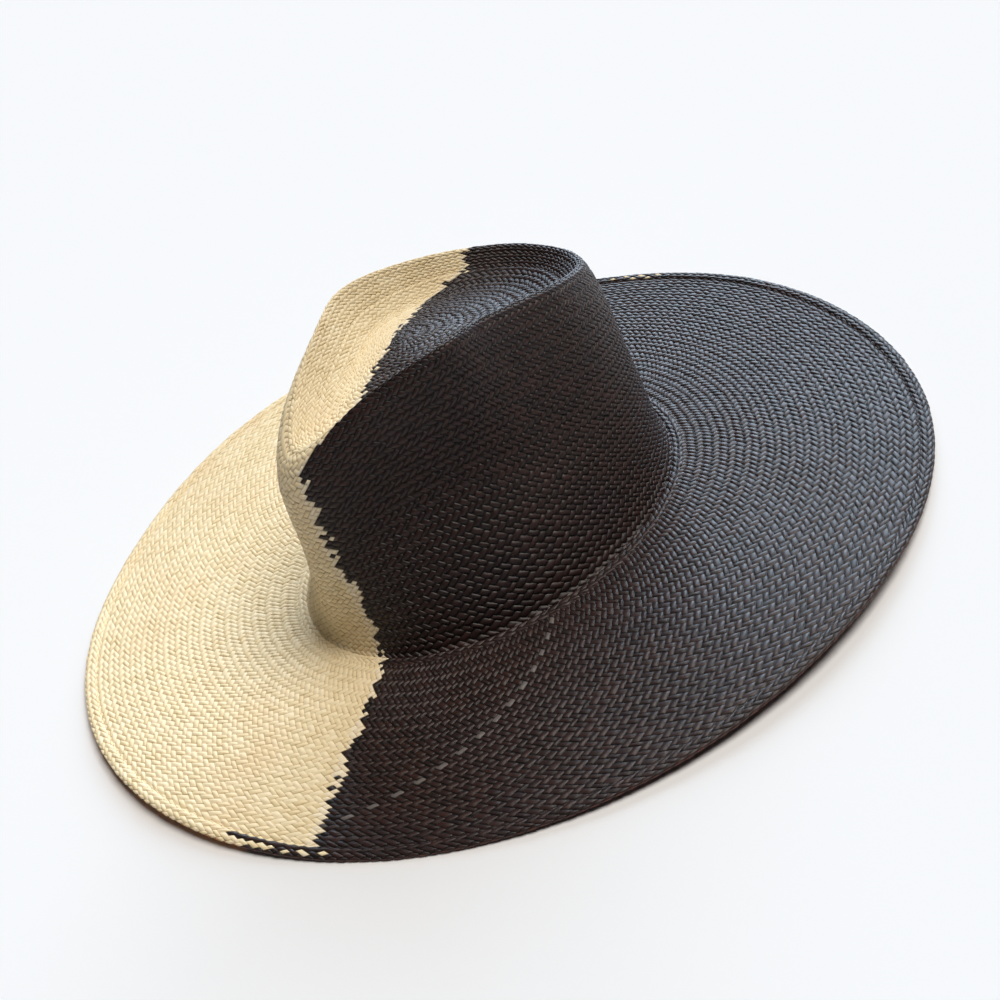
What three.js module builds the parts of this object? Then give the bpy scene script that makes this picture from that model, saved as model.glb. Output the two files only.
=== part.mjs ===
// Two-tone straw hat: a woven crown and brim, each half natural and half black straw, with an edge braid.
// Millimetres, +Z up. The hat faces -Y, its wearer's left is +X, and it stands on the floor at z = 0.
import * as THREE from 'three';

// Driving sizes
const crownHalfWidth = 84;     // crown's foot, from the middle to the outside, across
const crownHalfLength = 102;   // the same, front to back
const crownHeight = 120;       // from the rim's mean level up to the ridge beside the dent
const brimHalfWidth = 216;     // outer edge of the hat, across
const brimHalfLength = 217;    // outer edge of the hat, front to back
const wall = 1.4;              // thickness of the woven straw
const braidWidth = 6.5;        // the back-woven band that finishes the edge
const braidThickness = 2.6;
const footBend = 1.5;          // how far the crown's wall flares where it turns into the brim
const footClearance = 0.8;     // between the floor and the underside of the crown's foot
const rimWave = 2.8;           // how far the rim dips and rises around its mean level
const restFlat = 0.35;         // how far the rim is flattened where it stands on the floor
const wallBulge = 9;           // how far the wall under the ridge stands out at the front
const wallDent = 10;           // depth of the two pinches beside the front
const gap = 0.3;               // clearance between neighbouring pieces
const halfColumns = 32;        // facets around each half
const radiansPerDegree = Math.PI / 180;

const rimLevel = braidThickness / 2 + rimWave - restFlat;   // mean level of the rim's middle

// One row for each section around the hat; turn runs from the front towards +X.
// ridge and floor are shares of crownHalfWidth, crownHalfLength and crownHeight,
// bulge of wallBulge, dent of wallDent and dip of rimWave.
const sections = [
  { turn: 0, ridge: [0.0, -0.78, 0.8], floor: [0.0, -0.58, 0.79], bulge: 1.0, dent: 0.0, dip: 0.4 },
  { turn: 30, ridge: [0.36, -0.48, 0.955], floor: [0.2, -0.42, 0.8], bulge: 0.45, dent: 0.8, dip: -1 },
  { turn: 60, ridge: [0.63, -0.225, 1.04], floor: [0.42, -0.2, 0.82], bulge: 0.1, dent: 1.0, dip: -0.16 },
  { turn: 90, ridge: [0.58, 0.04, 1.0], floor: [0.46, 0.06, 0.82], bulge: 0.2, dent: 0.4, dip: 1.2 },
  { turn: 120, ridge: [0.585, 0.457, 0.92], floor: [0.45, 0.38, 0.8], bulge: 0.35, dent: 0.0, dip: 0 },
  { turn: 150, ridge: [0.385, 0.79, 0.825], floor: [0.29, 0.62, 0.75], bulge: 0.35, dent: 0.0, dip: -1 },
  { turn: 180, ridge: [0.02, 0.915, 0.8], floor: [0.0, 0.72, 0.74], bulge: 0.45, dent: 0.0, dip: -0.12 },
  { turn: 210, ridge: [-0.34, 0.81, 0.835], floor: [-0.27, 0.63, 0.76], bulge: 0.35, dent: 0.0, dip: -0.19 },
  { turn: 240, ridge: [-0.585, 0.467, 0.92], floor: [-0.46, 0.4, 0.8], bulge: 0.35, dent: 0.0, dip: 0.36 },
  { turn: 270, ridge: [-0.63, 0.065, 0.995], floor: [-0.48, 0.08, 0.83], bulge: 0.2, dent: 0.4, dip: 0.62 },
  { turn: 300, ridge: [-0.47, -0.236, 0.975], floor: [-0.34, -0.18, 0.82], bulge: 0.2, dent: 1.0, dip: -1 },
  { turn: 330, ridge: [-0.265, -0.59, 0.875], floor: [-0.15, -0.45, 0.8], bulge: 0.9, dent: 0.8, dip: -0.15 },
];
const domeTop = [-0.23, 0.0, 0.83];   // middle of the dent's floor, as the same shares

// The wall from the ridge (down 0) to the foot (down 1), with its shares of bulge and dent.
const wallLevels = [
  { down: 0.06, bulge: 0.7, dent: 0.0 },
  { down: 0.2, bulge: 1.0, dent: 0.4 },
  { down: 0.48, bulge: 0.6, dent: 1.0 },
  { down: 0.7, bulge: 0.3, dent: 0.6 },
  { down: 0.9, bulge: 0.0, dent: 0.1 },
];
const brimShares = [0.05, 0.35, 0.7, 1.0];   // levels across the brim, from the foot to the edge
const footLevel = 12;                        // level where the crown is cut from the brim
const edgeLevel = 15;

// Where the two colours meet, as turns at each level from the dent's middle out to the edge.
const colourSeam = [
  { level: 0, front: 371, back: 248 },
  { level: 1, front: 372, back: 236 },
  { level: 2, front: 371, back: 233 },
  { level: 3, front: 376, back: 221 },
  { level: 4, front: 385, back: 220 },
  { level: 5, front: 377, back: 220 },
  { level: 6, front: 366, back: 219 },
  { level: 7, front: 367, back: 217 },
  { level: 8, front: 368, back: 215 },
  { level: 10, front: 375, back: 212 },
  { level: 12, front: 379, back: 210 },
  { level: 13, front: 381.5, back: 209 },
  { level: 15, front: 384, back: 207 },
];

const materials = {
  natural: { color: 0xe6d5ac, roughness: 0.75, metalness: 0 },
  black: { color: 0x2b2729, roughness: 0.6, metalness: 0 },
};

// Cubic through b and c, with a and d beside them.
function curveValue(a, b, c, d, t) {
  const linear = c - a;
  const square = 2 * a - 5 * b + 4 * c - d;
  const cube = -a + 3 * b - 3 * c + d;
  return 0.5 * (2 * b + t * (linear + t * (square + t * cube)));
}

// A smooth value around the hat, from a number picked out of each section.
function around(turn, pick) {
  const place = (((turn % 360) + 360) % 360) / 360 * sections.length;
  const start = Math.floor(place);
  const at = (step) => pick(sections[(start + step + sections.length) % sections.length]);
  return curveValue(at(-1), at(0), at(1), at(2), place - start);
}

function sharesToPoint(pickShare) {
  return new THREE.Vector3(
    pickShare(0) * crownHalfWidth,
    pickShare(1) * crownHalfLength,
    pickShare(2) * crownHeight + rimLevel,
  );
}

// The straight-up profile of the hat's upper surface at one turn, a point for each level.
function profileAt(turn) {
  const angle = turn * radiansPerDegree;
  const ridge = sharesToPoint((axis) => around(turn, (row) => row.ridge[axis]));
  const floor = sharesToPoint((axis) => around(turn, (row) => row.floor[axis]));
  const middle = sharesToPoint((axis) => domeTop[axis]);
  const outward = new THREE.Vector3(Math.sin(angle) / crownHalfWidth, -Math.cos(angle) / crownHalfLength, 0);
  outward.normalize();
  const foot = new THREE.Vector3(
    crownHalfWidth * Math.sin(angle),
    -crownHalfLength * Math.cos(angle),
    wall + footClearance,
  );
  const bulge = around(turn, (row) => row.bulge) * wallBulge;
  const dent = around(turn, (row) => row.dent) * wallDent;
  const points = [
    middle,
    middle.clone().lerp(floor, 0.5),
    middle.clone().lerp(floor, 0.88),
    floor.clone().lerp(ridge, 0.35),
    floor.clone().lerp(ridge, 0.7),
    ridge,
  ];
  for (const row of wallLevels) {
    const point = ridge.clone().lerp(foot, row.down);
    points.push(point.addScaledVector(outward, bulge * row.bulge - dent * row.dent));
  }
  points.push(foot.clone().addScaledVector(outward, footBend));
  const edge = new THREE.Vector3(
    (brimHalfWidth - braidWidth - gap) * Math.sin(angle),
    -(brimHalfLength - braidWidth - gap) * Math.cos(angle),
    rimLevel + rimWave * around(turn, (row) => row.dip) + wall / 2,
  );
  for (const share of brimShares) {
    points.push(foot.clone().lerp(edge, share));
  }
  return points;
}

// A point of the upper surface at a turn and a level, which may lie between two of the levels.
function surfaceAt(turn, level) {
  const points = profileAt(turn);
  const start = Math.min(Math.floor(level), points.length - 2);
  const at = (index) => {
    if (index < 0) {
      return points[0].clone().multiplyScalar(2).sub(points[1]);
    }
    if (index >= points.length) {
      return points[index - 1].clone().multiplyScalar(2).sub(points[index - 2]);
    }
    return points[index];
  };
  const corners = [at(start - 1), at(start), at(start + 1), at(start + 2)];
  const value = (axis) => curveValue(...corners.map((corner) => corner.getComponent(axis)), level - start);
  return new THREE.Vector3(value(0), value(1), value(2));
}

function normalAt(turn, level) {
  const small = 0.02;
  const from = Math.max(level - small, small);
  const along = surfaceAt(turn, from + 2 * small).sub(surfaceAt(turn, from));
  const across = surfaceAt(turn + 1, from + small).sub(surfaceAt(turn - 1, from + small));
  return along.cross(across).normalize();
}

// The colour seam's turn at a level, straight between the rows of the table.
function seamTurn(level, side) {
  let next = colourSeam.findIndex((row) => row.level >= level);
  next = Math.max(next, 1);
  const below = colourSeam[next - 1];
  const above = colourSeam[next];
  return THREE.MathUtils.mapLinear(level, below.level, above.level, below[side], above[side]);
}

const halves = {
  natural: (level, share) => {
    const back = seamTurn(level, 'back');
    return back + (seamTurn(level, 'front') - back) * share;
  },
  black: (level, share) => {
    const front = seamTurn(level, 'front') - 360;
    return front + (seamTurn(level, 'back') - front) * share;
  },
};

function meshOf(name, colour, vertices, triangles) {
  const geometry = new THREE.BufferGeometry();
  geometry.setAttribute('position', new THREE.Float32BufferAttribute(vertices.flatMap((v) => v.toArray()), 3));
  geometry.setIndex(triangles.flat());
  geometry.computeVertexNormals();
  const mesh = new THREE.Mesh(geometry, new THREE.MeshStandardMaterial(materials[colour]));
  mesh.name = name;
  return mesh;
}

// A woven panel of one colour between two levels, as a wall under the upper surface.
// Its edges are drawn back by half the gap.
function wovenPanel(name, colour, levels) {
  const rows = levels.map((level) => {
    const count = level === 0 ? 0 : halfColumns;
    const row = [];
    for (let column = 0; column <= count; column += 1) {
      const share = count === 0 ? 0.5 : column / count;
      const turn = halves[colour](level, share);
      row.push({ point: surfaceAt(turn, level), normal: normalAt(turn, level) });
    }
    return row;
  });
  drawBackSeams(rows);
  drawBackEnds(rows);
  const vertices = [];
  const upper = rows.map((row) => row.map((spot) => vertices.push(spot.point) - 1));
  const lower = rows.map((row) => row.map((spot) => (
    vertices.push(spot.point.clone().addScaledVector(spot.normal, -wall)) - 1)));
  const triangles = [];
  sheetBetween(upper, triangles, false);
  sheetBetween(lower, triangles, true);
  const border = [
    ...upper[0],
    ...upper.slice(1, -1).map((row) => row.at(-1)),
    ...upper.at(-1).toReversed(),
    ...upper.slice(1, -1).map((row) => row[0]).toReversed(),
  ];
  const under = lower.flat()[0] - upper.flat()[0];
  border.forEach((corner, index) => {
    const next = border[(index + 1) % border.length];
    // Both halves split the side wall on the same diagonal, so that their twisted faces stay parallel.
    if (corner < next) {
      triangles.push([corner, next, next + under], [corner, next + under, corner + under]);
    } else {
      triangles.push([corner, next, corner + under], [next, next + under, corner + under]);
    }
  });
  return meshOf(name, colour, vertices, triangles);
}

// Moves each seam edge into its own half, square to the seam and along the surface.
function drawBackSeams(rows) {
  const moves = [];
  rows.forEach((row, index) => {
    if (row.length === 1) {
      const middle = rows[1][halfColumns / 2].point.clone().sub(row[0].point);
      const chord = rows[1][halfColumns].point.clone().sub(rows[1][0].point);
      middle.addScaledVector(chord, -middle.dot(chord) / chord.lengthSq()).normalize();
      moves.push([row[0].point, middle]);
      return;
    }
    for (const end of [0, row.length - 1]) {
      const sideOf = (other) => (other.length === 1 ? other[0] : other[end]).point;
      const before = sideOf(rows[Math.max(index - 1, 0)]);
      const after = sideOf(rows[Math.min(index + 1, rows.length - 1)]);
      const along = after.clone().sub(before);
      const inward = along.cross(row[end].normal).normalize();
      const inside = row[end === 0 ? 1 : end - 1].point.clone().sub(row[end].point);
      moves.push([row[end].point, inward.multiplyScalar(Math.sign(inward.dot(inside)))]);
    }
  });
  for (const [point, direction] of moves) {
    point.addScaledVector(direction, gap / 2);
  }
}

// Moves the panel's inner and outer ends towards its middle, where it ends on a neighbour.
function drawBackEnds(rows) {
  const pull = (row, towards) => row.forEach((spot, column) => {
    spot.point.addScaledVector(towards[column].point.clone().sub(spot.point).normalize(), gap / 2);
  });
  pull(rows.at(-1), rows.at(-2));
  if (rows[0].length > 1) {
    pull(rows[0], rows[1]);
  }
}

// Fills the strips between rows of vertices; a row with one vertex is the middle of a fan.
function sheetBetween(grid, triangles, turnedOver) {
  const add = (a, b, c) => triangles.push(turnedOver ? [a, c, b] : [a, b, c]);
  for (let index = 0; index + 1 < grid.length; index += 1) {
    const row = grid[index];
    const next = grid[index + 1];
    for (let column = 0; column + 1 < next.length; column += 1) {
      if (row.length === 1) {
        add(row[0], next[column], next[column + 1]);
      } else {
        add(row[column], next[column], next[column + 1]);
        add(row[column], next[column + 1], row[column + 1]);
      }
    }
  }
}

// The band at the edge: a rounded bar bent around the brim, flat underneath where it dips to the floor.
function edgeBraid(name, colour) {
  const half = { width: braidWidth / 2, thickness: braidThickness / 2 };
  const section = [
    [-1, -0.45], [-0.6, -1], [0.6, -1], [1, -0.45], [1, 0.45], [0.6, 1], [-0.6, 1], [-1, 0.45],
  ];
  const vertices = [];
  const rings = [];
  const start = halves[colour](edgeLevel, 0);
  const end = halves[colour](edgeLevel, 1);
  const drawBack = gap / 2 / brimHalfWidth / radiansPerDegree;
  for (let column = 0; column <= halfColumns; column += 1) {
    const turn = THREE.MathUtils.lerp(start + drawBack, end - drawBack, column / halfColumns);
    const angle = turn * radiansPerDegree;
    const level = rimLevel + rimWave * around(turn, (row) => row.dip);
    rings.push(section.map(([out, up]) => vertices.push(new THREE.Vector3(
      (brimHalfWidth + (out - 1) * half.width) * Math.sin(angle),
      -(brimHalfLength + (out - 1) * half.width) * Math.cos(angle),
      Math.max(level + up * half.thickness, 0),
    )) - 1));
  }
  const triangles = [];
  for (let column = 0; column < halfColumns; column += 1) {
    rings[column].forEach((corner, index) => {
      const next = (index + 1) % section.length;
      const ahead = rings[column + 1];
      triangles.push([corner, ahead[index], ahead[next]], [corner, ahead[next], rings[column][next]]);
    });
  }
  for (let index = 1; index + 1 < section.length; index += 1) {
    triangles.push([rings[0][0], rings[0][index], rings[0][index + 1]]);
    triangles.push([rings.at(-1)[0], rings.at(-1)[index + 1], rings.at(-1)[index]]);
  }
  return meshOf(name, colour, vertices, triangles);
}

// Levels every step from one end to the other.
function levelsBetween(from, to, steps) {
  return Array.from({ length: steps + 1 }, (_, index) => THREE.MathUtils.lerp(from, to, index / steps));
}

const crownLevels = [
  0,
  ...levelsBetween(0.6, 4, 5),
  ...levelsBetween(4.25, 6, 7),
  ...levelsBetween(6.5, 11, 9),
  ...levelsBetween(11.25, footLevel, 3),
];
const brimLevels = [footLevel, footLevel + 0.5, footLevel + 1, footLevel + 2, edgeLevel];

const hat = new THREE.Group();
for (const colour of ['natural', 'black']) {
  hat.add(wovenPanel(`crown_${colour}`, colour, crownLevels));
  hat.add(wovenPanel(`brim_${colour}`, colour, brimLevels));
  hat.add(edgeBraid(`edge_braid_${colour}`, colour));
}

export default hat;
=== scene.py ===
import bmesh
import bpy
import numpy as np
from mathutils import Matrix, Vector


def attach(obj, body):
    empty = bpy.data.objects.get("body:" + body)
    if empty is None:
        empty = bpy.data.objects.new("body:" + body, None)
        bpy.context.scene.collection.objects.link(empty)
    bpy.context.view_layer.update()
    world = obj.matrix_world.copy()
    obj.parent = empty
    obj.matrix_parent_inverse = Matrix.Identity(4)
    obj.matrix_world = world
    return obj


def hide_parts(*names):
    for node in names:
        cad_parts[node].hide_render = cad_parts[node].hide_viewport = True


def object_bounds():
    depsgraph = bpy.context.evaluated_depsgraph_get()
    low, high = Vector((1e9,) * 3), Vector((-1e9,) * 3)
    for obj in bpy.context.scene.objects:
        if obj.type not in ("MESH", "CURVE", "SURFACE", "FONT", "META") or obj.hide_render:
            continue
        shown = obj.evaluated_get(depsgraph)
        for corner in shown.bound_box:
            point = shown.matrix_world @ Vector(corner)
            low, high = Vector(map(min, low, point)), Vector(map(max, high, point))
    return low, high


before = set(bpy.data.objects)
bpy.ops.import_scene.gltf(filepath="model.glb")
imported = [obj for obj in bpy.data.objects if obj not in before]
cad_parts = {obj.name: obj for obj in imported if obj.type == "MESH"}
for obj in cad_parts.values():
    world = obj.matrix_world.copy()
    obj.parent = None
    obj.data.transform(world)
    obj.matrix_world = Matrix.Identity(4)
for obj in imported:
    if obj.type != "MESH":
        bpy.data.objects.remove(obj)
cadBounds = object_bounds()
print("frame loaded:", ", ".join(sorted(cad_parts)))

mm = 0.001  # everything about the hat's form is in millimetres, and its meshes are in metres


# The camera stands in front of the wearer's left side and looks down on the hat, rolled clockwise.
cameraSettings = {
    "bearing": 57.5,  # degrees from the front towards the wearer's left
    "elevation": 33.4,
    "roll": 22.8,
    "distance": 0.8,
    "targetHeight": 0.00375,
    "lens": 58.2,
    "shift": (0.012, 0.0119),
}


def placeCamera(settings):
    bearing, elevation, roll = np.radians([settings[key] for key in ("bearing", "elevation", "roll")])
    flat = np.cos(elevation)
    back = Vector((np.sin(bearing) * flat, -np.cos(bearing) * flat, np.sin(elevation)))
    level = Vector((np.cos(bearing), np.sin(bearing), 0))
    upward = back.cross(level)
    sideways = level * np.cos(roll) - upward * np.sin(roll)
    upright = upward * np.cos(roll) + level * np.sin(roll)
    data = bpy.data.cameras.new("camera")
    data.sensor_width = 36
    data.lens = settings["lens"]
    data.shift_x, data.shift_y = settings["shift"]
    camera = bpy.data.objects.new("camera", data)
    place = Matrix((sideways, upright, back)).transposed().to_4x4()
    place.translation = Vector((0, 0, settings["targetHeight"])) + back * settings["distance"]
    camera.matrix_world = place
    bpy.context.scene.collection.objects.link(camera)
    bpy.context.scene.camera = camera


placeCamera(cameraSettings)

# The hat's form: the same driving sizes and sections as its solids.
form = {
    "crownHalfWidth": 84,
    "crownHalfLength": 102,
    "crownHeight": 120,
    "brimHalfWidth": max(abs(value) for value in (cadBounds[0][0], cadBounds[1][0])) / mm,
    "brimHalfLength": max(abs(value) for value in (cadBounds[0][1], cadBounds[1][1])) / mm,
    "wall": 1.4,
    "braidWidth": 6.5,
    "braidThickness": 2.6,
    "footBend": 1.5,
    "footClearance": 0.8,
    "rimWave": 2.8,
    "restFlat": 0.35,
    "wallBulge": 9,
    "wallDent": 10,
    "gap": 0.3,
}
rimLevel = form["braidThickness"] / 2 + form["rimWave"] - form["restFlat"]
footLevel = 12
edgeLevel = 15

# ridge and floor are shares of the crown's half width, half length and height;
# bulge, dent and dip are shares of wallBulge, wallDent and rimWave.
sectionColumns = ("turn", "ridge", "floor", "bulge", "dent", "dip")
sections = [dict(zip(sectionColumns, row)) for row in (
    (0, (0.0, -0.78, 0.8), (0.0, -0.58, 0.79), 1.0, 0.0, 0.4),
    (30, (0.36, -0.48, 0.955), (0.2, -0.42, 0.8), 0.45, 0.8, -1),
    (60, (0.63, -0.225, 1.04), (0.42, -0.2, 0.82), 0.1, 1.0, -0.16),
    (90, (0.58, 0.04, 1.0), (0.46, 0.06, 0.82), 0.2, 0.4, 1.2),
    (120, (0.585, 0.457, 0.92), (0.45, 0.38, 0.8), 0.35, 0.0, 0),
    (150, (0.385, 0.79, 0.825), (0.29, 0.62, 0.75), 0.35, 0.0, -1),
    (180, (0.02, 0.915, 0.8), (0.0, 0.72, 0.74), 0.45, 0.0, -0.12),
    (210, (-0.34, 0.81, 0.835), (-0.27, 0.63, 0.76), 0.35, 0.0, -0.19),
    (240, (-0.585, 0.467, 0.92), (-0.46, 0.4, 0.8), 0.35, 0.0, 0.36),
    (270, (-0.63, 0.065, 0.995), (-0.48, 0.08, 0.83), 0.2, 0.4, 0.62),
    (300, (-0.47, -0.236, 0.975), (-0.34, -0.18, 0.82), 0.2, 1.0, -1),
    (330, (-0.265, -0.59, 0.875), (-0.15, -0.45, 0.8), 0.9, 0.8, -0.15),
)]
domeTop = (-0.23, 0.0, 0.83)
domeShares = (0.5, 0.88)  # levels between the middle of the dent and its floor's border
slopeShares = (0.35, 0.7)  # levels between the floor's border and the ridge
wallRows = [dict(zip(("down", "bulge", "dent"), row)) for row in (
    (0.06, 0.7, 0.0), (0.2, 1.0, 0.4), (0.48, 0.6, 1.0), (0.7, 0.3, 0.6), (0.9, 0.0, 0.1),
)]
brimShares = (0.05, 0.35, 0.7, 1.0)

# Where the two colours meet, as turns at each level from the dent's middle out to the edge.
colourSeam = [dict(zip(("level", "front", "back"), row)) for row in (
    (0, 371, 248), (1, 372, 236), (2, 371, 233), (3, 376, 221), (4, 385, 220), (5, 377, 220),
    (6, 366, 219), (7, 367, 217), (8, 368, 215), (10, 375, 212), (12, 379, 210), (13, 381.5, 209),
    (15, 384, 207),
)]


def curveValue(a, b, c, d, t):
    return 0.5 * (2 * b + t * (c - a + t * (2 * a - 5 * b + 4 * c - d + t * (3 * b - a - 3 * c + d))))


def sectionAt(turns, column):
    # a smooth value around the hat, from one column of the sections
    values = np.array([row[column] for row in sections], float).reshape(len(sections), -1)
    place = np.mod(turns, 360) / 360 * len(sections)
    start = np.floor(place).astype(int)
    near = [values[(start + step) % len(sections)] for step in (-1, 0, 1, 2)]
    return curveValue(*near, (place - start)[:, None])


def rimHeight(turns):
    return rimLevel + form["rimWave"] * sectionAt(turns, "dip")[:, 0]


def profilesAt(turns):
    # the straight-up profile of the upper surface at each turn, a point for each level
    size = np.array([form["crownHalfWidth"], form["crownHalfLength"], form["crownHeight"]])
    lift = np.array([0, 0, rimLevel])
    angle = np.radians(turns)
    sine, cosine = np.sin(angle), np.cos(angle)
    ridge = sectionAt(turns, "ridge") * size + lift
    floor = sectionAt(turns, "floor") * size + lift
    middle = np.array(domeTop) * size + lift + 0 * ridge
    outward = np.stack([sine / size[0], -cosine / size[1], 0 * sine], -1)
    outward /= np.linalg.norm(outward, axis=1)[:, None]
    footHeight = form["wall"] + form["footClearance"]
    foot = np.stack([size[0] * sine, -size[1] * cosine, footHeight + 0 * sine], -1)
    bulge = sectionAt(turns, "bulge") * form["wallBulge"]
    dent = sectionAt(turns, "dent") * form["wallDent"]
    levels = [middle]
    levels += [middle + (floor - middle) * share for share in domeShares]
    levels += [floor + (ridge - floor) * share for share in slopeShares]
    levels.append(ridge)
    for row in wallRows:
        wallPoint = ridge + (foot - ridge) * row["down"]
        levels.append(wallPoint + outward * (bulge * row["bulge"] - dent * row["dent"]))
    levels.append(foot + outward * form["footBend"])
    margin = form["braidWidth"] + form["gap"]
    edge = np.stack([
        (form["brimHalfWidth"] - margin) * sine,
        -(form["brimHalfLength"] - margin) * cosine,
        rimHeight(turns) + form["wall"] / 2,
    ], -1)
    levels += [foot + (edge - foot) * share for share in brimShares]
    return np.stack(levels, 1)


turnStep = 0.25
profileTable = profilesAt(np.arange(0, 360 + turnStep, turnStep))
firstLevel = 2 * profileTable[:, :1] - profileTable[:, 1:2]
lastLevel = 2 * profileTable[:, -1:] - profileTable[:, -2:-1]
profileTable = np.concatenate([firstLevel, profileTable, lastLevel], 1)


def surfaceAt(turns, levels):
    # points of the upper surface, in millimetres
    place = np.mod(turns, 360) / turnStep
    column = np.minimum(np.floor(place).astype(int), len(profileTable) - 2)
    share = (place - column)[:, None]
    start = np.clip(np.floor(levels).astype(int), 0, edgeLevel - 1)
    near = []
    for step in (0, 1, 2, 3):
        here = profileTable[column, start + step]
        ahead = profileTable[column + 1, start + step]
        near.append(here + (ahead - here) * share)
    return curveValue(*near, (levels - start)[:, None])


def normalAt(zone, turns, places):
    # the way out from the surface of a zone's form
    small, surface = zone["small"], zone["surface"]
    inner = places - small if surface is braidAt else np.maximum(places - small, small)
    along = surface(turns, inner + 2 * small) - surface(turns, inner)
    across = surface(turns + 1, inner + small) - surface(turns - 1, inner + small)
    normal = np.cross(along, across)
    return normal / np.linalg.norm(normal, axis=1)[:, None]


# Mean length along the surface from the dent's middle out to each level, and a little past the brim's end.
stepsPerLevel = 20
meanStep = 15  # degrees between the tracks that the mean is taken of
arcLevels = np.linspace(0, edgeLevel + 1 / stepsPerLevel, edgeLevel * stepsPerLevel + 2)
arcLengths = np.zeros(len(arcLevels))
for meanTurn in range(0, 360, meanStep):
    track = surfaceAt(np.full(len(arcLevels), float(meanTurn)), arcLevels)
    arcLengths[1:] += np.cumsum(np.linalg.norm(np.diff(track, axis=0), axis=1)) * meanStep / 360
footArc, edgeArc = np.interp([footLevel, edgeLevel], arcLevels, arcLengths)
print("form ready, foot to edge", round(edgeArc - footArc, 1), "mm")

# The braid that finishes the brim: a rounded tube, its places running from 0 low on the inner side over the
# top, out, down and back to 1.
edgeBraid = {
    "halfWidth": 3.1,
    "halfThickness": 1.2,
    "roundness": 0.7,
    "topPlace": 0.2917,  # the middle of the top lies between the second and the third row of floats
    "steps": 241,
}


def braidTable():
    angles = np.radians(np.linspace(-180, 180, edgeBraid["steps"]))
    power = edgeBraid["roundness"]
    out = np.sign(np.sin(angles)) * np.abs(np.sin(angles)) ** power * edgeBraid["halfWidth"]
    up = np.sign(np.cos(angles)) * np.abs(np.cos(angles)) ** power * edgeBraid["halfThickness"]
    lengths = np.concatenate([[0], np.cumsum(np.hypot(np.diff(out), np.diff(up)))])
    return lengths / lengths[-1], out, up


braidShares, braidOut, braidUp = braidTable()


def braidAt(turns, places):
    # points of the edge braid's surface, in millimetres
    share = np.mod(places - edgeBraid["topPlace"] + 0.5, 1)
    out, up = (np.interp(share, braidShares, values) for values in (braidOut, braidUp))
    angle = np.radians(turns)
    inset = form["braidWidth"] / 2
    return np.stack([
        (form["brimHalfWidth"] - inset + out) * np.sin(angle),
        -(form["brimHalfLength"] - inset + out) * np.cos(angle),
        rimHeight(turns) + up,
    ], -1)


# The weave is a two over two under twill. A straw of the first family runs along lattice coordinate a and
# one of the second along b, both slanting across the rings. It is made flat, in lattice coordinates with the
# upper side at 1 and the under side at 0, and then laid on the hat's form.
weave = {
    "linePlaces": (0, 0.18, 0.82),  # grid lines across each straw
    "relief": 0.5,  # mm from the bottom of the slots to the straws' backs
    "backHeight": 0.2,  # mm that the backs stand above the form
    "thickness": 1.25,
    "looseness": 0.12,  # mm that single straws stand up or down
    "uneven": 0.15,  # how far the slots wander, in straw pitches
    "ragged": 0.7,  # how far the colour seam is uneven, in straw pitches
    "sink": 0.35,  # mm that a zone's last straws go down where it meets the next
    "sinkReach": 1.5,  # straw pitches over which they go down
    "endFrom": 0.7,  # a straw's back is full as far as this from its middle, in straw pitches
    "endHeight": 0.72,  # share of the relief beyond that
    "besideHeight": 0.25,  # the same between two straws that lie side by side
    "cornerHeight": 0.1,  # and where four cells meet
    "seamReach": 0.8,  # straws this near the colour seam, in straw pitches, have its tint: paler on the natural straws and painted shadow on the black ones
    "seamMargin": 14,  # degrees past the seam, for the marks of one colour in the other
}

# Everything uneven comes from one repeatable wave, with a seed for each use.
waveSteps = {"first": 12.9898, "second": 78.233, "seed": 37.719}
waveHeight = 43758.5453
seeds = {"ragged": 1, "looseness": 2, "float": 3, "strand": 4, "unevenA": 5, "unevenB": 6}
secondFamily = 500  # added to the number of a straw of the second family, so that both have their own shades


def fixedRandom(first, second, use):
    angle = first * waveSteps["first"] + second * waveSteps["second"] + seeds[use] * waveSteps["seed"]
    wave = np.sin(angle) * waveHeight
    return wave - np.floor(wave)


def floatAt(a, b, under):
    # the straw seen at a place: its family, the corner where its float starts and its centre
    cellA, cellB = np.floor(a), np.floor(b)
    step = np.mod(cellA - cellB, 4)
    first = (step < 2) != under
    odd = np.mod(step, 2)
    startA = np.where(first, cellA - odd, cellA)
    startB = np.where(first, cellB, cellB - 1 + odd)
    centreA = startA + np.where(first, 1, 0.5)
    centreB = startB + np.where(first, 0.5, 1)
    return first, startA, startB, centreA, centreB


def linePlace(index, perStraw):
    # lattice coordinate of a grid line, whole for the lines between straws
    places = np.array(weave["linePlaces"]) if perStraw == 3 else np.arange(perStraw) / perStraw
    return np.floor(index / perStraw) + places[np.mod(index, perStraw).astype(int)]


def flatGrid(zone, perStraw, side):
    # a triangulated sheet over the zone, its vertices at (a, b, side)
    columns = (zone["lastA"] - zone["firstA"]) * perStraw
    rows = (zone["lastD"] - zone["firstD"]) * perStraw
    bm = bmesh.new()
    bmesh.ops.create_grid(bm, x_segments=columns, y_segments=rows, size=0.5)
    bmesh.ops.triangulate(bm, faces=bm.faces[:], quad_method="FIXED")
    mesh = bpy.data.meshes.new("flat")
    bm.to_mesh(mesh)
    bm.free()
    places = np.empty(len(mesh.vertices) * 3)
    mesh.vertices.foreach_get("co", places)
    places = places.reshape(-1, 3)
    column = np.rint((places[:, 0] + 0.5) * columns) + zone["firstA"] * perStraw
    row = np.rint((places[:, 1] + 0.5) * rows) + zone["firstD"] * perStraw
    places[:, 0] = linePlace(column, perStraw)
    places[:, 1] = linePlace(column - row, perStraw)
    places[:, 2] = side
    mesh.vertices.foreach_set("co", places.ravel())
    return mesh


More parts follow.
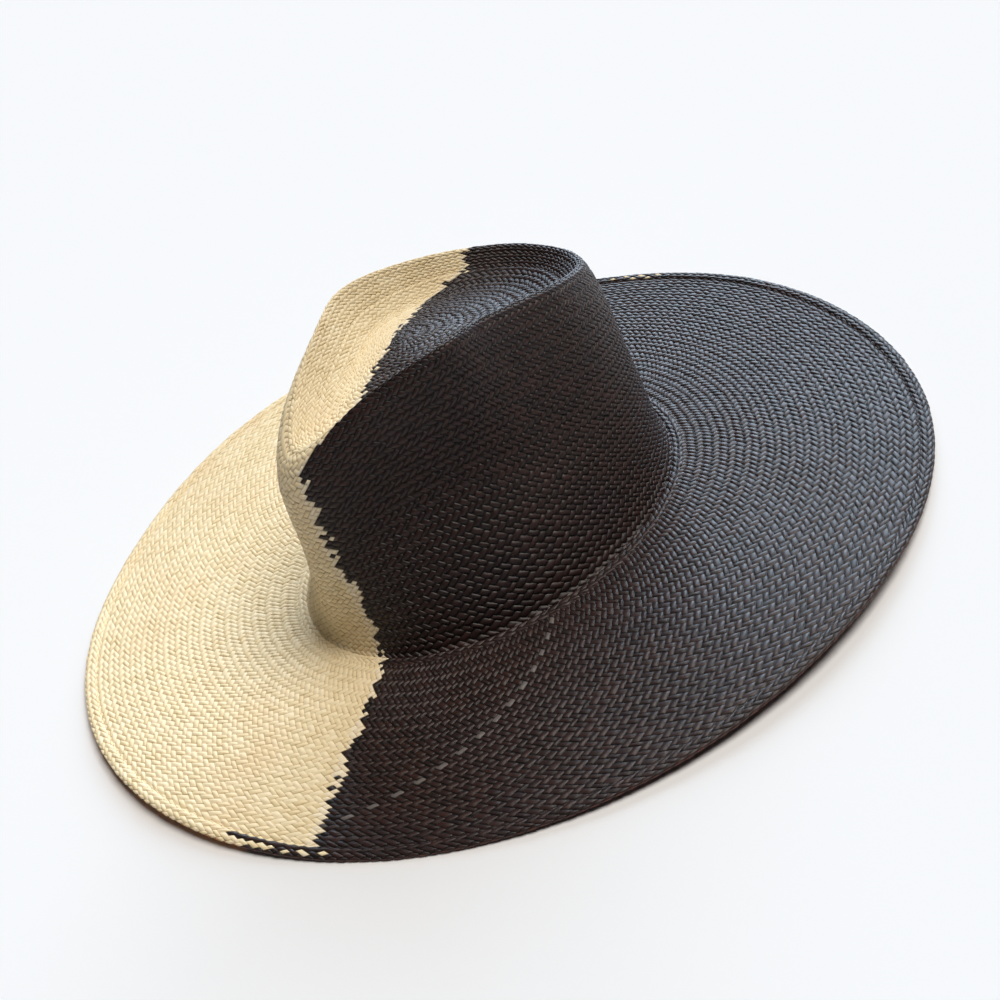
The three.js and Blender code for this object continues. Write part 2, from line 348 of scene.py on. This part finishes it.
def faceCentres(mesh):
    corners = np.empty(len(mesh.polygons) * 3, int)
    mesh.loops.foreach_get("vertex_index", corners)
    places = np.empty(len(mesh.vertices) * 3)
    mesh.vertices.foreach_get("co", places)
    return places.reshape(-1, 3)[corners.reshape(-1, 3)].mean(1)


def turnTable(zone):
    # share of the way round at each degree, so that the straws are evenly spaced
    degrees = np.arange(0, 361.0)
    middle = zone["placeOf"](np.mean([zone["firstD"], zone["lastD"]]))
    track = zone["surface"](degrees, np.full(len(degrees), float(middle)))
    lengths = np.concatenate([[0], np.cumsum(np.linalg.norm(np.diff(track, axis=0), axis=1))])
    return lengths / lengths[-1], degrees


def placeOnForm(zone, a, b):
    wayRound = ((a + b) / 2 + zone["lean"] * (a - b)) / zone["straws"]
    turns = np.floor(wayRound) * 360 + np.interp(np.mod(wayRound, 1), *zone["turnTable"])
    return turns, zone["placeOf"](a - b)


def colourTurns(levels):
    table = [[row[key] for row in colourSeam] for key in ("level", "front", "back")]
    return np.interp(levels, table[0], table[1]), np.interp(levels, table[0], table[2])


def seamReach(zone, a, b):
    # how far a cell lies inside the natural half, in straw pitches
    cellA, cellB = np.floor(a) + 0.5, np.floor(b) + 0.5
    turns, _ = placeOnForm(zone, cellA, cellB)
    front, back = colourTurns(zone["levelOf"](cellA - cellB))
    past, width = np.mod(turns - back, 360), front - back
    inside = np.minimum(past, width - past)
    outside = np.minimum(past - width, 360 - past)
    return np.where(past < width, inside, -outside) * zone["straws"] / 360


def isNatural(zone, a, b):
    # each cell of the lattice has one colour, and a float that crosses the seam changes in its middle
    cellA, cellB = np.floor(a) + 0.5, np.floor(b) + 0.5
    rough = fixedRandom(np.mod(cellA, zone["straws"]), cellA - cellB, "ragged") - 0.5
    natural = seamReach(zone, a, b) > rough * 2 * weave["ragged"]
    turns, places = placeOnForm(zone, cellA, cellB)
    for mark in zone["marks"]:
        near = np.abs(np.mod(turns - mark["turn"] + 180, 360) - 180) < mark["halfTurns"]
        near &= np.abs(places - mark["place"]) < mark["halfPlace"]
        natural = np.where(near, mark["natural"], natural)
    return natural


def keepColour(mesh, zone, colour):
    # deletes the faces of every cell that isn't this colour
    centres = faceCentres(mesh)
    cellA, cellB = np.floor(centres[:, 0]) + 0.5, np.floor(centres[:, 1]) + 0.5
    turns, _ = placeOnForm(zone, cellA, cellB)
    keep = isNatural(zone, cellA, cellB) == (colour == "natural")
    keep &= (turns >= zone["firstTurn"]) & (turns < zone["lastTurn"])
    bm = bmesh.new()
    bm.from_mesh(mesh)
    bm.faces.ensure_lookup_table()
    spare = [bm.faces[index] for index in np.flatnonzero(~keep)]
    bmesh.ops.delete(bm, geom=spare, context="FACES")
    bpy.data.meshes.remove(mesh)
    return bm


def closeSides(bm):
    # walls between the borders of the upper and the under sheet, a face for each straw's width
    def key(a, b, side):
        return round(a, 3), round(b, 3), side

    found = {key(*vertex.co): vertex for vertex in bm.verts if vertex.is_boundary}
    shares = weave["linePlaces"][1:]
    for edge in [edge for edge in bm.edges if edge.is_boundary and edge.verts[0].co.z == 0]:
        start, end = (vertex.co.copy() for vertex in edge.verts)
        upper = []
        for share in (0, *shares, 1):
            place = start.lerp(end, share)
            upper.append(found[key(place.x, place.y, 1)])
        bm.faces.new([edge.verts[1], edge.verts[0], *upper])


def zoneMesh(zone, colour):
    bm = keepColour(flatGrid(zone, len(weave["linePlaces"]), 1), zone, colour)
    under = keepColour(flatGrid(zone, 1, 0), zone, colour)
    underMesh = bpy.data.meshes.new("under")
    under.to_mesh(underMesh)
    under.free()
    bm.from_mesh(underMesh)
    bpy.data.meshes.remove(underMesh)
    closeSides(bm)
    bmesh.ops.triangulate(bm, faces=bm.faces[:])
    bmesh.ops.recalc_face_normals(bm, faces=bm.faces[:])
    mesh = bpy.data.meshes.new("zone")
    bm.to_mesh(mesh)
    bm.free()
    return mesh


def strawHeights(zone, a, b):
    # share of the relief at each vertex: 1 on a straw's back, 0 in the slots where it dives under
    onA, onB = a == np.floor(a), b == np.floor(b)
    small = 0.01
    earlier = a - small * onA, b - small * onB
    later = a + small * onA, b + small * onB
    before, after = floatAt(*earlier, False), floatAt(*later, False)
    same = isNatural(zone, *earlier) == isNatural(zone, *later)
    for index in (0, 3, 4):
        same &= before[index] == after[index]
    first, startA, startB, centreA, centreB = after
    along = np.where(first, a - startA, b - startB)
    height = np.where(np.abs(along - 1) > weave["endFrom"], weave["endHeight"], 1.0)
    straw = np.mod(centreA, zone["straws"])
    loose = fixedRandom(straw, centreA - centreB, "looseness") - 0.5
    height += loose * 2 * weave["looseness"] / weave["relief"]
    sideBySide = ~same & (before[0] == after[0])
    height = np.where(sideBySide, weave["besideHeight"], height)
    height = np.where(~same & ~sideBySide, 0.0, height)
    return np.where(onA & onB, weave["cornerHeight"], height)


def unevenPlace(zone, values, use):
    # lattice coordinates with the slots a little off their even places, so that no two straws are as wide
    line = np.floor(values)
    here, ahead = (fixedRandom(np.mod(line + step, zone["straws"]), 0 * line, use) - 0.5 for step in (0, 1))
    return values + 2 * weave["uneven"] * (here + (ahead - here) * (values - line))


def layOnForm(mesh, zone):
    places = np.empty(len(mesh.vertices) * 3)
    mesh.vertices.foreach_get("co", places)
    a, b, side = np.round(places.reshape(-1, 3), 4).T
    corners = np.empty(len(mesh.loops), int)
    mesh.loops.foreach_get("vertex_index", corners)
    centres = faceCentres(mesh)
    under = centres[:, 2] < 0.5
    first, startA, startB, centreA, centreB = floatAt(centres[:, 0], centres[:, 1], under)
    turns, spots = placeOnForm(zone, unevenPlace(zone, a, "unevenA"), unevenPlace(zone, b, "unevenB"))
    fromBorder = np.minimum(a - b - zone["firstD"], zone["lastD"] - a + b)
    sink = np.clip(1 - fromBorder / weave["sinkReach"], 0, 1) * zone["sink"]
    height = (strawHeights(zone, a, b) - 1) * weave["relief"] + weave["backHeight"] - sink
    height = np.where(side == 1, height, -zone["thickness"])
    points = zone["surface"](turns, spots) + normalAt(zone, turns, spots) * height[:, None]
    points[:, 2] = np.maximum(points[:, 2], 0)
    mesh.vertices.foreach_set("co", (points * mm).ravel())
    # straw coordinates on every face: along from 0 to 2 straw widths, across from 0 to 1
    isFirst, fromA, fromB = (np.repeat(values, 3) for values in (first, startA, startB))
    cornerA, cornerB = a[corners], b[corners]
    along = np.where(isFirst, cornerA - fromA, cornerB - fromB)
    across = np.where(isFirst, cornerB - fromB, cornerA - fromA)
    uv = mesh.uv_layers.new(name="straw")
    uv.data.foreach_set("uv", np.stack([along, across], -1).ravel())
    # tint: the float's number, the whole straw's number (2 is the pale one), where it hides and whether
    # it is at the seam
    tint = mesh.attributes.new("tint", "FLOAT_COLOR", "FACE")
    strawA, strawB = (np.mod(centre, zone["straws"]) for centre in (centreA, centreB))
    strand = fixedRandom(np.where(first, strawB, strawA + secondFamily), 0 * strawA, "strand")
    strand = np.where(~first & (np.floor(strawA) == zone.get("paleStraw", -1)), 2, strand)
    atSeam = np.abs(seamReach(zone, centres[:, 0], centres[:, 1])) < weave["seamReach"]
    hidden = under + 2.0 * (~under & (centres[:, 0] - centres[:, 1] > zone.get("rimFrom", np.inf)))
    colours = [fixedRandom(strawA, centreA - centreB, "float"), strand, hidden, atSeam.astype(float)]
    tint.data.foreach_set("color", np.stack(colours, -1).ravel())
    mesh.polygons.foreach_set("use_smooth", np.ones(len(mesh.polygons), bool))


def wovenPiece(name, zones, colour):
    objects = []
    for zone in zones:
        mesh = zoneMesh(zone, colour)
        layOnForm(mesh, zone)
        objects.append(bpy.data.objects.new(name, mesh))
        bpy.context.scene.collection.objects.link(objects[-1])
    piece = objects[0]
    if len(objects) > 1:
        with bpy.context.temp_override(active_object=piece, selected_editable_objects=objects, object=piece):
            bpy.ops.object.join()
    piece.data.name = name
    print(name, len(piece.data.polygons), "triangles")
    return piece


def makeZone(straws, rings, placeOf, colour, **changes):
    # the lattice cells that cover one colour between two rings, with a margin at the seams
    zone = {
        "straws": straws,
        "placeOf": placeOf,
        "levelOf": placeOf,
        "surface": surfaceAt,
        "small": 0.02,
        "thickness": weave["thickness"],
        "sink": weave["sink"],
        "lean": 0,
        "marks": (),
    }
    zone.update(changes)
    zone["firstD"], zone["lastD"] = rings
    levels = zone["levelOf"](np.linspace(*rings, 9))
    front, back = colourTurns(levels)
    margin = weave["seamMargin"]
    natural = (back.min() - margin, front.max() + margin)
    black = (front.min() - 360 - margin, back.max() + margin)
    zone["firstTurn"], zone["lastTurn"] = natural if colour == "natural" else black
    zone["turnTable"] = turnTable(zone)
    shares, degrees = zone["turnTable"]
    ends = []
    for turn in (zone["firstTurn"], zone["lastTurn"]):
        wayRound = np.floor(turn / 360) + np.interp(np.mod(turn, 360), degrees, shares)
        ends.append([straws * wayRound + d * (0.5 - zone["lean"]) for d in rings])
    zone["firstA"], zone["lastA"] = int(np.floor(min(ends[0]))), int(np.ceil(max(ends[1])))
    return zone


def markRows(*rows):
    return [dict(zip(("turn", "place", "halfTurns", "halfPlace", "natural"), row)) for row in rows]


# The brim: 240 straws of each family all the way out, in rings that get closer towards the edge.
# It runs a little way into the braid, and one straw of it is a paler grey.
brimWeave = {
    "straws": 240,
    "innerRings": 13.0,
    "ringGrowth": 3.5,
    "underBraid": 0.7,  # mm
    "paleStraw": 44,
    "marks": markRows((21.9, 13.2, 0.7, 0.05, True)),
}


def brimLevelOf(d):
    start, growth = brimWeave["innerRings"], brimWeave["ringGrowth"]
    rings = np.clip(d / 4, -1, start + growth)
    share = (-start + np.sqrt(start * start + 4 * growth * rings)) / (2 * growth)
    return np.interp(footArc + share * (edgeArc + brimWeave["underBraid"] - footArc), arcLengths, arcLevels)


# The crown: fewer straws higher up, so that they stay about as wide; from and to are levels.
crownZones = [dict(zip(("straws", "from", "to"), row)) for row in (
    (16, 0.0, 0.4), (36, 0.36, 0.95), (66, 0.9, 1.75), (98, 1.7, 3.1), (128, 3.05, 5.03), (138, 4.98, 12.08),
)]
crownLean = 0.065  # straw pitches that the weave leans round the crown from one row to the next
# mm from ring to ring, as a mean round the hat
ringLevels, ringLengths = (0, 2.9, 3.1, 4.9, 5.1, 8, 9, 12), (5.2, 5.2, 3.8, 3.8, 6.2, 6.3, 5.7, 5.4)
crownMarks = markRows((18.2, 11.3, 0.9, 0.2, True))
ringSteps = np.diff(arcLengths) / np.interp(arcLevels[1:], ringLevels, ringLengths)
ringCounts = np.concatenate([[0], np.cumsum(ringSteps)])


def crownLevelOf(d):
    return np.interp(d / 4, ringCounts, arcLevels)


def crownRings(zone):
    return [int(round(count * 4)) for count in np.interp([zone["from"], zone["to"]], arcLevels, ringCounts)]


# The edge braid: six rows of floats round its section, the second and the third on top. At the front black
# straws run into the natural braid, and at the back a few natural ones show in the black.
braidWeave = {
    "straws": 264,
    "rows": 12,
    "thickness": 0.6,
    "sink": 0.15,
    "rimFrom": 6.3,  # rows from here on are the braid's reddish underside
    "marks": markRows(
        (18.2, 0.208, 6.2, 0.07, False), (19.7, 0.71, 4.9, 0.25, False), (22.5, 0.375, 3.4, 0.07, False),
        (20.6, 0.375, 0.5, 0.05, True), (22.8, 0.375, 0.5, 0.05, True), (25.4, 0.375, 0.5, 0.05, True),
        (196, 0.375, 0.34, 0.06, True), (198.5, 0.375, 0.34, 0.06, True), (201, 0.375, 0.34, 0.06, True),
        (197, 0.208, 0.34, 0.06, True), (200, 0.208, 0.34, 0.06, True), (203, 0.208, 0.34, 0.06, True),
    ),
}


def braidPlaceOf(d):
    return d / braidWeave["rows"]


def braidZone(colour):
    return makeZone(
        braidWeave["straws"], (0, braidWeave["rows"]), braidPlaceOf, colour,
        levelOf=lambda d: edgeLevel + 0 * d, surface=braidAt, small=0.004,
        thickness=braidWeave["thickness"], sink=braidWeave["sink"], rimFrom=braidWeave["rimFrom"],
        marks=braidWeave["marks"],
    )


def brimZone(colour):
    rings = int((brimWeave["innerRings"] + brimWeave["ringGrowth"]) * 4)
    return makeZone(brimWeave["straws"], (0, rings), brimLevelOf, colour, paleStraw=brimWeave["paleStraw"],
                    marks=brimWeave["marks"])


pieces = {}
for colour in ("natural", "black"):
    crown = [
        makeZone(zone["straws"], crownRings(zone), crownLevelOf, colour, lean=crownLean, marks=crownMarks)
        for zone in crownZones
    ]
    zones = {"woven_brim": [brimZone(colour)], "woven_crown": crown, "woven_edge_braid": [braidZone(colour)]}
    for name, pieceZones in zones.items():
        piece = wovenPiece(name + "_" + colour, pieceZones, colour)
        pieces[name + "_" + colour] = piece
        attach(piece, "root")
        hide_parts(name.removeprefix("woven_") + "_" + colour)


def linear(colourCode):
    channels = [int(colourCode[index:index + 2], 16) / 255 for index in (1, 3, 5)]
    return [c / 12.92 if c <= 0.04045 else ((c + 0.055) / 1.055) ** 2.4 for c in channels] + [1]


def addNode(tree, kind, inputs=None, **settings):
    node = tree.nodes.new("ShaderNode" + kind)
    for name, value in settings.items():
        setattr(node, name, value)
    for name, value in (inputs or {}).items():
        if isinstance(value, bpy.types.NodeSocket):
            tree.links.new(value, node.inputs[name])
        else:
            node.inputs[name].default_value = value
    return node


def newMaterial(name):
    material = bpy.data.materials.new(name)
    material.use_nodes = True
    tree = material.node_tree
    tree.nodes.clear()
    return material, tree


strawLooks = {
    "natural": {
        "name": "split natural palm straw",
        # the edge colour is painted shade for the gaps between floats
        "light": "#fff0cf", "dark": "#ead19c", "patch": "#f4d9b0", "edge": "#ab8c55", "gapShadeStrength": 0.75,
        # the seam colour is a paler tint of the natural straws beside the colour seam
        "under": "#c9ad7a", "rim": "#c88448", "seam": "#fbf1de", "pale": "#f3e2bd",
        "halfLength": 0.95, "halfWidth": 0.455, "corner": 0.2, "soft": 0.14,
        "roughness": 0.55, "specular": 0.3, "ior": 1.5, "shades": 0.22, "fibres": 0.3,
    },
    "black": {
        "name": "dyed black palm straw",
        # the edge colour is painted shade for the gaps between floats
        "light": "#3d241f", "dark": "#180d0d", "patch": "#2c1f23", "edge": "#020101", "gapShadeStrength": 1.0,
        # the seam colour is painted shadow on the black straws beside the colour seam
        "under": "#33201a", "rim": "#54281a", "seam": "#0c0909", "pale": "#6b6361",
        "halfLength": 0.83, "halfWidth": 0.42, "corner": 0.18, "soft": 0.12,
        "roughness": 0.45, "specular": 0.5, "ior": 1.5, "shades": 0.32, "fibres": 0.45,
    },
}

# Fibres run along each straw: real ones are 0.1 mm wide, and are drawn four times as coarse to show.
strawGrain = {
    "alongStraw": 0.5,  # stretches the fibres along the straw
    "acrossStraw": 3.0,
    "nextFloat": 40.0,  # how far apart the fibres of two floats are taken
    "fibreScale": 2.0,
    "patchesPerMetre": 22.0,  # cloudy patches about 45 mm across
    "patchFrom": 0.5,
    "patchFull": 0.75,
    "patchShare": 0.6,
    "seamTintAndShadowShare": 0.45,
    "unevenEnds": 0.09,  # how far the gaps round single floats widen, in straw widths; the gaps carry the painted shade between floats
    "fibreHeight": 0.15,  # share of the bump that the fibres have
    "bumpHeight": 0.0004,  # metres
    "smoother": 0.08,
    "rougher": 0.12,
}


def strawMaterial(look):
    # strips split from dried palm leaf, smooth on the outside, with fine fibres along them
    material, tree = newMaterial(look["name"])
    uv = addNode(tree, "UVMap", uv_map="straw")
    place = addNode(tree, "SeparateXYZ", {"Vector": uv.outputs["UV"]})
    along, across = place.outputs["X"], place.outputs["Y"]
    tint = addNode(tree, "Attribute", attribute_name="tint", attribute_type="GEOMETRY")
    tints = addNode(tree, "SeparateColor", {"Color": tint.outputs["Color"]})
    piece, strand, hidden = (tints.outputs[key] for key in ("Red", "Green", "Blue"))
    grain = strawGrain
    stretched = addNode(tree, "CombineXYZ", {
        "X": addNode(tree, "Math", {0: along, 1: grain["alongStraw"]}, operation="MULTIPLY").outputs[0],
        "Y": addNode(tree, "Math", {0: across, 1: grain["acrossStraw"]}, operation="MULTIPLY").outputs[0],
        "Z": addNode(tree, "Math", {0: piece, 1: grain["nextFloat"]}, operation="MULTIPLY").outputs[0],
    })
    fibre = addNode(tree, "TexNoise", {
        "Vector": stretched.outputs[0], "Scale": grain["fibreScale"], "Detail": 3.0,
    })
    position = addNode(tree, "TexCoord")
    patch = addNode(tree, "TexNoise", {
        "Vector": position.outputs["Object"], "Scale": grain["patchesPerMetre"], "Detail": 2.0,
    })
    # each float and each whole straw has its own shade
    mixPieces = addNode(tree, "Math", {0: piece, 1: strand}, operation="ADD")
    shade = addNode(tree, "Math", {0: mixPieces.outputs[0], 1: look["shades"]}, operation="MULTIPLY")
    shadeFibre = addNode(tree, "Math", {0: fibre.outputs["Fac"], 1: look["fibres"], 2: shade.outputs[0]},
                         operation="MULTIPLY_ADD")
    base = addNode(tree, "Mix", {0: shadeFibre.outputs[0], 6: linear(look["light"]), 7: linear(look["dark"])},
                   data_type="RGBA")
    patchShare = addNode(tree, "MapRange", {
        "Value": patch.outputs["Fac"], "From Min": grain["patchFrom"], "From Max": grain["patchFull"],
        "To Max": grain["patchShare"],
    })
    patched = addNode(tree, "Mix", {0: patchShare.outputs[0], 6: base.outputs[2], 7: linear(look["patch"])},
                      data_type="RGBA")
    isPale = addNode(tree, "Math", {0: strand, 1: 1.5}, operation="GREATER_THAN")
    paled = addNode(tree, "Mix", {0: isPale.outputs[0], 6: patched.outputs[2], 7: linear(look["pale"])},
                    data_type="RGBA")
    # beside the colour seam: a paler tint on natural straws, painted shadow on black ones
    seamTintAndShadowShare = addNode(tree, "Math", {0: tint.outputs["Alpha"], 1: grain["seamTintAndShadowShare"]}, operation="MULTIPLY")
    atSeam = addNode(tree, "Mix", {0: seamTintAndShadowShare.outputs[0], 6: paled.outputs[2], 7: linear(look["seam"])},
                     data_type="RGBA")
    # hidden is 1 on a straw's underside and 2 on the underside of the edge
    underShare = addNode(tree, "Math", {0: hidden, 1: 1.0}, operation="MINIMUM")
    underneath = addNode(tree, "Mix", {
        0: underShare.outputs[0], 6: atSeam.outputs[2], 7: linear(look["under"]),
    }, data_type="RGBA")
    isRim = addNode(tree, "Math", {0: hidden, 1: 1.5}, operation="GREATER_THAN")
    rimmed = addNode(tree, "Mix", {0: isRim.outputs[0], 6: underneath.outputs[2], 7: linear(look["rim"])},
                     data_type="RGBA")
    # how far a place lies outside a rounded oblong, which is the part of the straw that is seen; outside it
    # lie the gaps between floats, which get painted shade
    corner = look["corner"]
    straight = (look["halfLength"] - corner, look["halfWidth"] - corner, 0)
    offset = addNode(tree, "VectorMath", {0: uv.outputs["UV"], 1: (1.0, 0.5, 0.0)}, operation="SUBTRACT")
    reach = addNode(tree, "VectorMath", {0: offset.outputs[0]}, operation="ABSOLUTE")
    past = addNode(tree, "VectorMath", {0: reach.outputs[0], 1: straight}, operation="SUBTRACT")
    outside = addNode(tree, "VectorMath", {0: past.outputs[0], 1: (0, 0, 0)}, operation="MAXIMUM")
    distance = addNode(tree, "VectorMath", {0: outside.outputs[0]}, operation="LENGTH")
    varied = addNode(tree, "Math", {0: piece, 1: grain["unevenEnds"], 2: distance.outputs["Value"]},
                     operation="MULTIPLY_ADD")
    gap = addNode(tree, "MapRange", {
        "Value": varied.outputs[0], "From Min": corner, "From Max": corner + look["soft"],
    })
    # painted shade: the gaps between floats are mixed towards the dark edge colour
    gapShadeShare = addNode(tree, "Math", {0: gap.outputs[0], 1: look["gapShadeStrength"]}, operation="MULTIPLY")
    colour = addNode(tree, "Mix", {0: gapShadeShare.outputs[0], 6: rimmed.outputs[2], 7: linear(look["edge"])},
                     data_type="RGBA")
    pillow = addNode(tree, "Math", {0: 1.0, 1: gap.outputs[0]}, operation="SUBTRACT")
    height = addNode(tree, "Math", {0: fibre.outputs["Fac"], 1: grain["fibreHeight"], 2: pillow.outputs[0]},
                     operation="MULTIPLY_ADD")
    bump = addNode(tree, "Bump", {
        "Height": height.outputs[0], "Strength": 0.5, "Distance": grain["bumpHeight"],
    })
    roughness = addNode(tree, "MapRange", {
        "Value": fibre.outputs["Fac"], "To Min": look["roughness"] - grain["smoother"],
        "To Max": look["roughness"] + grain["rougher"],
    })
    shader = addNode(tree, "BsdfPrincipled", {
        "Base Color": colour.outputs[2],
        "Roughness": roughness.outputs[0],
        "Specular IOR Level": look["specular"],
        "IOR": look["ior"],
        "Normal": bump.outputs[0],
    })
    addNode(tree, "OutputMaterial", {"Surface": shader.outputs[0]})
    return material


straw = {colour: strawMaterial(look) for colour, look in strawLooks.items()}
for name, piece in pieces.items():
    piece.data.materials.append(straw[name.split("_")[-1]])

# Pale floor and soft light: a wide one from overhead, a cool one low behind and a weak warm one in front.
studio = {
    "floor": "#f4f5f8", "floorReach": 6,  # metres from its middle to its sides
    "world": "#eef3fa", "worldStrength": 0.02, "backdrop": "#f5f7f9",
    # place is the way from the hat to the light, and angle its width in degrees
    "lights": (
        {"name": "overhead", "place": (0.28, 0.38, 1.0), "angle": 40, "strength": 2.65, "colour": "#fff8ee"},
        {"name": "behind", "place": (-0.5, 0.78, 0.34), "angle": 45, "strength": 3.5, "colour": "#cfe4f8"},
        {"name": "front", "place": (-0.8, -0.8, 0.8), "angle": 60, "strength": 0.05, "colour": "#fff3e0"},
    ),
}


def lightStudio(settings):
    bm = bmesh.new()
    bmesh.ops.create_grid(bm, x_segments=1, y_segments=1, size=settings["floorReach"])
    mesh = bpy.data.meshes.new("floor")
    bm.to_mesh(mesh)
    bm.free()
    floor = bpy.data.objects.new("floor", mesh)
    bpy.context.scene.collection.objects.link(floor)
    material, tree = newMaterial("matt pale paper")
    looks = {"Base Color": linear(settings["floor"]), "Roughness": 1.0, "Specular IOR Level": 0.0}
    shader = addNode(tree, "BsdfPrincipled", looks)
    addNode(tree, "OutputMaterial", {"Surface": shader.outputs[0]})
    mesh.materials.append(material)
    world = bpy.data.worlds.new("studio")
    world.use_nodes = True
    tree = world.node_tree
    fill = tree.nodes["Background"]
    fill.inputs["Color"].default_value = linear(settings["world"])
    fill.inputs["Strength"].default_value = settings["worldStrength"]
    # past the floor's end the camera sees a pale backdrop, which lights nothing
    backdrop = addNode(tree, "Background", {"Color": linear(settings["backdrop"])})
    ray = addNode(tree, "LightPath")
    seen = addNode(tree, "MixShader", {
        0: ray.outputs["Is Camera Ray"], 1: fill.outputs[0], 2: backdrop.outputs[0],
    })
    tree.links.new(seen.outputs[0], tree.nodes["World Output"].inputs["Surface"])
    bpy.context.scene.world = world
    for row in settings["lights"]:
        data = bpy.data.lights.new(row["name"], "SUN")
        data.angle = np.radians(row["angle"])
        data.energy = row["strength"]
        data.color = linear(row["colour"])[:3]
        light = bpy.data.objects.new(row["name"], data)
        place = Vector(row["place"])
        light.matrix_world = Matrix.Translation(place) @ place.to_track_quat("Z", "Y").to_matrix().to_4x4()
        bpy.context.scene.collection.objects.link(light)


lightStudio(studio)
bpy.context.scene.view_settings.view_transform = "Standard"
